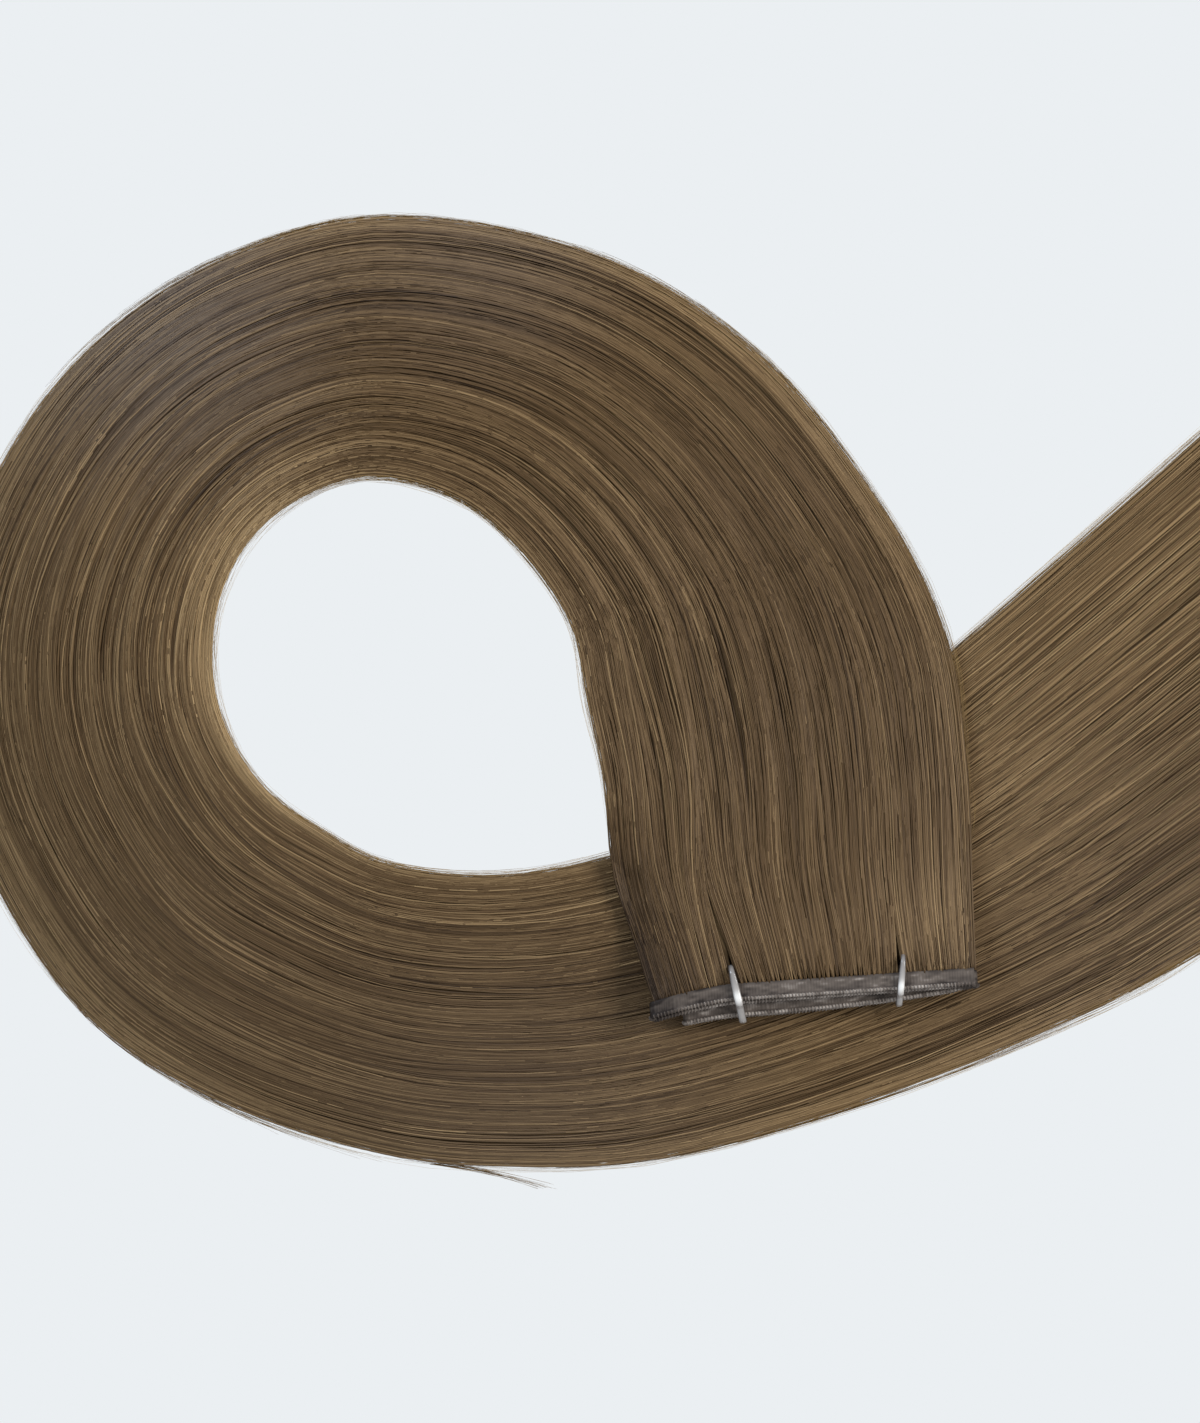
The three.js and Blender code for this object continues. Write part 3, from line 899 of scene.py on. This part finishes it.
def grow_flank(name, lock, edge, seed):
    """Strands down the side of the hair along one edge."""
    rng = np.random.default_rng(seed)
    last = strand_ends(np.full(FLANK_COUNT, edge), rng)
    station = ring_stations(last, LOCKS[lock][2], rng)
    height_share = (np.arange(FLANK_COUNT)[:, None] + rng.random((FLANK_COUNT, 1))) / FLANK_COUNT
    radius = STRAND_RADIUS * tapered(station, last)
    # Painted rim light: the flanks get paler past the root
    tone = rng.normal(*FLANK_TONE, (FLANK_COUNT, 1)) + FLANK_PAINTED_RIM_LIGHT * ease(station, *FLANK_PALER_STATIONS)
    edge_strands(name, lock, edge, station, -FLANK_INSET, height_share, radius, tone, "hair")


def grow_fringe(name, lock, edge, seed):
    """Fine hairs that leave an edge of the hair by a little and come back to it."""
    rng = np.random.default_rng(seed)
    last = last_station(edge)
    first = rng.uniform(FRINGE_FIRST - FRINGE_BEFORE_FIRST, last - FRINGE_BEFORE_END, (FRINGE_COUNT, 1))
    stop = np.minimum(first + rng.uniform(*FRINGE_SECTIONS, (FRINGE_COUNT, 1)), last)
    way = np.linspace(0, 1, FRINGE_RINGS)
    station = mix(np.maximum(first, FRINGE_FIRST), stop, way)
    peak = FRINGE_LEAST + FRINGE_REACH * (1 - np.sqrt(rng.random((FRINGE_COUNT, 1))))
    out = peak * np.sin(np.pi * way) ** FRINGE_BOW - FRINGE_INSIDE
    height_share = rng.uniform(*FRINGE_HEIGHTS, (FRINGE_COUNT, 1))
    radius = FRINGE_RADIUS * mix(FRINGE_END_LEFT, 1, np.sin(np.pi * way)) * np.ones_like(station)
    tone = rng.normal(*FRINGE_TONE, (FRINGE_COUNT, 1)) + FRINGE_PAINTED_LIGHT * ease(out, *FRINGE_PALER_OUT)
    edge_strands(name, lock, edge, station, out, height_share, radius, tone, "hair_fringe_painted_light")


def grow_core(lock):
    """A plain body under the strands of a lock, which thins out and ends before they do."""
    start, end, _ = LOCKS[lock]
    share = np.linspace(start, end, CORE_COLUMNS)
    last = last_station(share) - CORE_EARLY * (1 + CORE_RAGGED * tuft_ends(share, 0))
    station = mix(CORE_FIRST, last, np.linspace(0, 1, CORE_RINGS)[:, None])
    width = hair_width(station)
    across = inset(parted(share, CORE_PARTING_RATE * station, width, start, end), width, CORE_INSET)
    place, _, lift, height = hair_at(station, across)
    thinning = mix(1, CORE_END_LEFT, ease(station, last - CORE_THINNING, last))
    bottom = lift + CORE_BOTTOM
    top = lift + (height - CORE_DEPTH - rounding(station, across, width)) * thinning
    upper = raised(place, np.maximum(top, bottom + CORE_LEAST))
    rings = np.concatenate([upper, raised(place, bottom)[:, ::-1]], 1)[None]
    # Painted shade: the core is dark where it meets the band
    tone = CORE_TONE * ease(station, *CORE_ROOT_SHADE_STATIONS)
    tone = np.concatenate([tone, tone[:, ::-1]], 1)
    piece = loft(f"{lock}_lock_core", "hair_core", rings, tone[None])
    lines = np.stack([across * width / CORE_LINE, station, np.zeros_like(station)], -1)
    lines = np.concatenate([lines, lines[:, ::-1]], 1).astype(np.float32)
    piece.data.attributes.new("lines", "FLOAT_VECTOR", "POINT").data.foreach_set("vector", lines.ravel())
    replace_lock(piece, lock)


def grow_end_hairs(lock, seed):
    """Short hairs between the tips of a lock's strands, which keep its end full."""
    rng = np.random.default_rng(seed)
    start, end, _ = LOCKS[lock]
    count = round(END_HAIRS * (end - start))
    share = rng.uniform(start, end, count)
    last = strand_ends(share, rng)
    way = np.linspace(0, 1, END_HAIR_RINGS)
    station = last[:, None] - rng.uniform(*END_HAIR_SECTIONS, (count, 1)) * (1 - way)
    own = np.repeat(share[:, None], END_HAIR_RINGS, axis=1)
    width = hair_width(station)
    drift = rng.normal(0, END_HAIR_DRIFT, (count, 1)) * way
    across = inset(own + drift / width, width, EDGE_INSETS[0])
    place, direction, lift, height = hair_at(station, across)
    rise = lift + np.maximum(height * rng.uniform(*END_HAIR_HEIGHTS, (count, 1)), LEAST_RISE)
    radius = STRAND_RADIUS * rng.normal(*END_HAIR_RADIUS, (count, 1)) * tapered(station, last)
    tone = np.interp(station, TONE_STATIONS, HAIR_TONE) + rng.normal(*END_HAIR_TONE, (count, 1))
    name = f"{lock}_lock_end_hairs"
    replace_lock(strand_piece(name, "hair", place, rise, direction, radius, tone), lock)


def scattered(rng, middle, spread, scatter):
    return middle + scatter * rng.uniform(-spread, spread)


def grow_flyaways():
    """Single hairs that leave the edges of the hair by a little."""
    rng = np.random.default_rng(FLYAWAY_SEED)
    way = np.linspace(0, 1, FLYAWAY_RINGS)
    hairs = []
    for edge, first, last, reach, count, scatter in FLYAWAYS:
        for _ in range(count):
            start = mix(first, last, scattered(rng, *FLYAWAY_START, scatter))
            end = mix(start, last, scattered(rng, *FLYAWAY_END, scatter))
            station = mix(start, end, way)
            bend = scattered(rng, *FLYAWAY_BEND, scatter)
            out = reach * scattered(rng, *FLYAWAY_OUT, scatter) * way**bend - rng.uniform(0, FLYAWAY_INSIDE)
            share = edge + outward_from(edge) * out / hair_width(station)
            place, direction, lift, height = hair_at(station, share)
            hairs.append((place, lift + height * rng.uniform(*FLYAWAY_HEIGHTS), direction))
    plan, rise, across = (np.array(rows) for rows in zip(*hairs))
    radius = np.tile(FLYAWAY_RADIUS * mix(1, FLYAWAY_TIP_LEFT, way), (len(plan), 1))
    tone = np.repeat(rng.normal(*FLYAWAY_TONE, (len(plan), 1)), FLYAWAY_RINGS, axis=1)
    piece = strand_piece("flyaway_hairs", "hair", plan, rise, across, radius, tone)
    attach(piece, "root")


# Band
def strip_route():
    """The folded strip's middle line from the top run's right end: place along the band, offset
    towards the hair, height, the strip's own upward direction as (along, up), and length so far."""
    half = BAND_HALF - RUN_PITCH / 2
    parts = []
    for run in range(len(RUNS)):
        ends = [half - RUNS[run, 1], RUNS[run, 0] - half]
        way = -1 if run % 2 == 0 else 1
        if way == 1:
            ends.reverse()
        steps = round(abs(ends[1] - ends[0]) / STRIP_STEP)
        places = np.linspace(*ends, steps)
        level = np.full(steps, run_height(run))
        parts.append((places, run_offset(run, places), level, np.tile([0, -way], (steps, 1))))
        if run == len(RUNS) - 1:
            break
        turn = np.pi * np.arange(1, FOLD_STEPS) / FOLD_STEPS
        outward = np.column_stack([way * np.sin(turn), np.cos(turn)])
        places = ends[1] + outward[:, 0] * RUN_PITCH / 2
        offset = mix(run_offset(run, ends[1]), run_offset(run + 1, ends[1]), turn / np.pi)
        level = run_height(run + 0.5) + outward[:, 1] * RUN_PITCH / 2
        parts.append((places, offset, level, -way * outward))
    along, offset, height, normal = (np.concatenate(rows) for rows in zip(*parts))
    steps = np.hypot(np.diff(along), np.diff(height))
    return along, offset, height, normal, np.concatenate([[0], np.cumsum(steps)])


def rim_highlight_fade(along):
    """How strong the painted highlight on the lower edge of the strip is, which is dark at the band's ends.
    """
    return ease(BAND_HALF + along, *RIM_FADE_LEFT) * ease(BAND_HALF - along, *RIM_FADE_RIGHT)


def on_strip(along, offset, height, normal, down, out):
    """Places down from the strip's hair edge and out from its middle line."""
    places = along + normal[:, 0:1] * out
    heights = height[:, None] + normal[:, 1:2] * out
    return band_point(places, offset[:, None] - ROOT_GAP - down, heights)


def strip_tone(along, height, length, down, rib, row, patch):
    from_end = np.maximum(BAND_HALF - np.abs(along), 0)
    rim = ease(down, *RIM_SET_IN_DOWN) * rim_highlight_fade(along)[:, None]
    tone = STRIP_TONE + patch + RIB_TONE * rib + ROW_TONE * row
    # Painted highlight along the lower rim
    tone += (LOWER_RIM_HIGHLIGHT + LOWER_RIM_HIGHLIGHT_PATCHES * patch) * rim
    tone += WEAVE_TONE * band_weave(down / BAND_HEIGHT, length[:, None] / MM)
    # Painted fill light on the lower runs, under the top run
    tone += LOWER_RUNS_PAINTED_FILL * ease(band_top - height, RUN_PITCH, 2 * RUN_PITCH)[:, None]
    tone -= SEAM_SHADE * np.exp(-(((down - SEAM_DOWN) / SEAM_WIDTH) ** 2))
    # Painted shade near the hair and at the band's ends
    tone -= NEAR_HAIR_SHADE * (1 - ease(down, 0, NEAR_HAIR_REACH))
    tone -= END_SHADE * np.exp(-from_end / END_SHADE_REACH)[:, None]
    return tone - LEFT_END_SHADE * (1 - ease(BAND_HALF + along, *LEFT_END_REACH)[:, None])


def make_strip():
    rng = np.random.default_rng(STRIP_SEED)
    along, offset, height, normal, length = strip_route()
    down = np.concatenate([STRIP_SECTION[:, 0], STRIP_SECTION[::-1, 0]])
    thick = np.concatenate([STRIP_SECTION[:, 1], -STRIP_SECTION[::-1, 1]])
    stops = np.arange(0, length[-1] + PATCH_PITCH, PATCH_PITCH)
    patch = np.interp(length, stops, rng.normal(0, PATCH_TONE, len(stops)))[:, None]
    shift = np.interp(length, stops, rng.normal(0, RIB_SHIFT, len(stops)))[:, None]
    ribbed = ease(down, *RIBS_SET_IN) * (1 - ease(down, *RIBS_STOP))
    rib = ribbed * np.cos(2 * np.pi * (length[:, None] / RIB_PITCH + shift))
    row = ribbed * np.cos(2 * np.pi * (down / ROW_PITCH + ROW_SHIFT * shift))
    out = thick + np.sign(thick) * RIB_DEPTH * rib
    rings = on_strip(along[:, None], offset, height, normal, down, out)
    tone = strip_tone(along, height, length, down, rib, row, patch)
    piece = loft("weft_band_strip", "band", rings[None], tone[None])
    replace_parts(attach(piece, "root"), "weft_band")


def make_edge_stitches():
    """Short threads round the lower edge of the strip."""
    rng = np.random.default_rng(STITCH_SEED)
    along, offset, height, normal, length = strip_route()
    stops = np.arange(STITCH_MARGIN, length[-1] - STITCH_MARGIN, STITCH_PITCH)
    stops = stops + rng.uniform(-STITCH_SHIFT, STITCH_SHIFT)
    along, offset, height = (np.interp(stops, length, row) for row in (along, offset, height))
    normal = np.column_stack([np.interp(stops, length, normal[:, k]) for k in (0, 1)])
    turn = np.linspace(STITCH_TURN, -STITCH_TURN, STITCH_RINGS)
    down = STITCH_MIDDLE + STITCH_DOWN * np.cos(turn)
    out = STITCH_OUT * np.sin(turn)
    slant = np.linspace(-STITCH_SLANT, STITCH_SLANT, STITCH_RINGS)
    middles = on_strip(along[:, None] + slant, offset, height, normal, down, out)
    tangent = unit(np.gradient(middles, axis=1))
    upward = unit(np.cross(tangent, [*along_band, 0]))
    sideways = np.cross(upward, tangent)
    radius = np.full(middles.shape[:2], STITCH_RADIUS)
    own_tone = rng.normal(*STITCH_TONE, len(stops)) + STITCH_HIGHLIGHT * rim_highlight_fade(along)
    tone = np.repeat(own_tone[:, None], STITCH_RINGS, axis=1)
    name = "weft_band_edge_stitches"
    piece = tubes(name, "band", middles, sideways, upward, radius, tone, STITCH_SIDES)
    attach(piece, "root")


# Ties
def closed_curve(corners, count):
    """Points evenly spread along a smooth closed curve through corners."""
    share = np.linspace(0, len(corners), TIE_CURVE_STEPS * len(corners), endpoint=False)
    low = np.floor(share).astype(int)
    past = (share - low)[:, None]
    fine = curve_between(*(corners[(low + step) % len(corners)] for step in (-1, 0, 1, 2)), past)
    fine = np.vstack([fine, fine[:1]])
    length = np.concatenate([[0], np.cumsum(np.linalg.norm(np.diff(fine, axis=0), axis=1))])
    stops = np.linspace(0, length[-1], count, endpoint=False)
    return np.column_stack([np.interp(stops, length, fine[:, k]) for k in (0, 1)])


def make_tie(name, across, lean, wide):
    along = (across - 0.5) * BAND_LENGTH
    lowest = len(RUNS) - 1
    top = band_top + TIE_CLEAR
    bottom = run_height(lowest) - BAND_THICK / 2 - TIE_CLEAR
    fronts = [run_offset(run, along) - ROOT_GAP - BAND_HEIGHT - TIE_CLEAR for run in range(len(RUNS))]
    corners = np.array([
        [TIE_REACH, (top + bottom) / 2],
        [TIE_REACH - TIE_CLEAR, top],
        [fronts[0] / 2, top],
        [fronts[0] + TIE_CORNER, top],
        *[[front, run_height(run) + BAND_THICK / 2] for run, front in enumerate(fronts)],
        [fronts[lowest], bottom + TIE_CLEAR],
        [fronts[lowest] + TIE_CORNER, bottom],
        [fronts[lowest] / 2, bottom],
        [TIE_REACH - TIE_CLEAR, bottom],
    ])
    loop = closed_curve(corners, TIE_RINGS)
    heading = unit(np.roll(loop, -1, 0) - np.roll(loop, 1, 0))
    turn = 2 * np.pi * np.arange(TIE_SIDES) / TIE_SIDES
    out = np.cos(turn) * TIE_THICK / 2
    narrowing = mix(1, TIE_IN_LEFT, ease(loop[:, 0:1], TIE_NARROWS_FROM, TIE_REACH))
    flat = np.sign(np.sin(turn)) * np.abs(np.sin(turn)) ** TIE_SQUARE_POWER * narrowing * wide / 2
    hairward = loop[:, 0:1] + out * heading[:, 1:2]
    height = loop[:, 1:2] - out * heading[:, 0:1]
    places = along + lean * loop[:, 0:1] + flat
    rings = band_point(places, hairward, height)[None]
    # Painted highlight along the front, painted shade at the sides and where the tie goes into the hair
    shine = np.exp(-(((loop[:, 0:1] - TIE_HIGHLIGHT_PLACE * fronts[0]) / TIE_HIGHLIGHT_REACH) ** 2))
    in_front = ease(loop[:, 1:2], run_height(lowest), band_top)
    dark_sides = np.abs(np.sin(turn)) ** TIE_SIDE_POWER
    going_in = ease(loop[:, 0:1], TIE_DARK_FROM, TIE_REACH)
    tone = TIE_TONE + TIE_FACET_TONE * np.cos(TIE_FACETS * turn) + TIE_HIGHLIGHT_TONE * shine * in_front
    tone = tone - TIE_SIDE_SHADE * dark_sides - TIE_IN_SHADE * going_in
    piece = loft(f"{name}_loop", "tie", rings[:, :, ::-1], tone[None, :, ::-1], closed=True)
    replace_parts(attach(piece, "root"), name)


# Stage
def make_floor():
    """A plain pale table that glows evenly, so that it shows no shadow."""
    material, inputs = node_material("floor", roughness=0.9, specular=0.0)
    inputs["Base Color"].default_value = (0, 0, 0, 1)
    inputs["Emission Color"].default_value = linear(*FLOOR_COLOUR)
    inputs["Emission Strength"].default_value = 1.0
    bpy.ops.mesh.primitive_plane_add(size=FLOOR_SIZE, location=(0, 0, 0))
    floor = bpy.context.object
    floor.name = "floor"
    floor.data.materials.append(material)


def add_softbox(name, azimuth, elevation, size, energy, colour):
    """A square lamp that shines at the middle of what the camera sees."""
    lamp = bpy.data.lights.new(name, "AREA")
    lamp.energy = energy
    lamp.size = size
    lamp.color = colour
    softbox = bpy.data.objects.new(name, lamp)
    level = math.cos(math.radians(elevation))
    away = Vector((
        level * math.cos(math.radians(azimuth)),
        level * math.sin(math.radians(azimuth)),
        math.sin(math.radians(elevation)),
    ))
    softbox.location = LAMP_DISTANCE * away + Vector((*FRAME_MIDDLE, 0))
    softbox.rotation_euler = (-away).to_track_quat("-Z", "Y").to_euler()
    scene.collection.objects.link(softbox)


def make_light():
    world = bpy.data.worlds.new("studio")
    scene.world = world
    world.use_nodes = True
    background = world.node_tree.nodes["Background"].inputs
    background["Color"].default_value = WORLD_COLOUR
    background["Strength"].default_value = WORLD_STRENGTH
    for softbox_row in SOFTBOXES:
        add_softbox(*softbox_row)


def make_camera():
    lens = bpy.data.cameras.new("camera")
    lens.sensor_fit = "VERTICAL"
    lens.sensor_height = SENSOR_HEIGHT
    lens.lens = SENSOR_HEIGHT * CAMERA_DISTANCE / FRAME_HEIGHT
    camera = bpy.data.objects.new("camera", lens)
    camera.location = (*FRAME_MIDDLE, FRAME_LEVEL + CAMERA_DISTANCE)
    scene.collection.objects.link(camera)
    scene.camera = camera


for strand_row in STRANDS:
    grow_strands(*strand_row)
grow_flank("inner_flank_strands", "inner", INNER_EDGE, seed=17)
grow_flank("outer_flank_strands", "outer", OUTER_EDGE, seed=18)
grow_fringe("inner_edge_fringe", "inner", INNER_EDGE, seed=19)
grow_fringe("outer_edge_fringe", "outer", OUTER_EDGE, seed=20)
for lock_name in LOCKS:
    grow_core(lock_name)
for number, lock_name in enumerate(LOCKS):
    grow_end_hairs(lock_name, END_HAIR_SEED + number)
grow_flyaways()
make_strip()
make_edge_stitches()
for tie_row in TIES:
    make_tie(*tie_row)
make_floor()
make_light()
make_camera()
scene.view_settings.view_transform = "Standard"
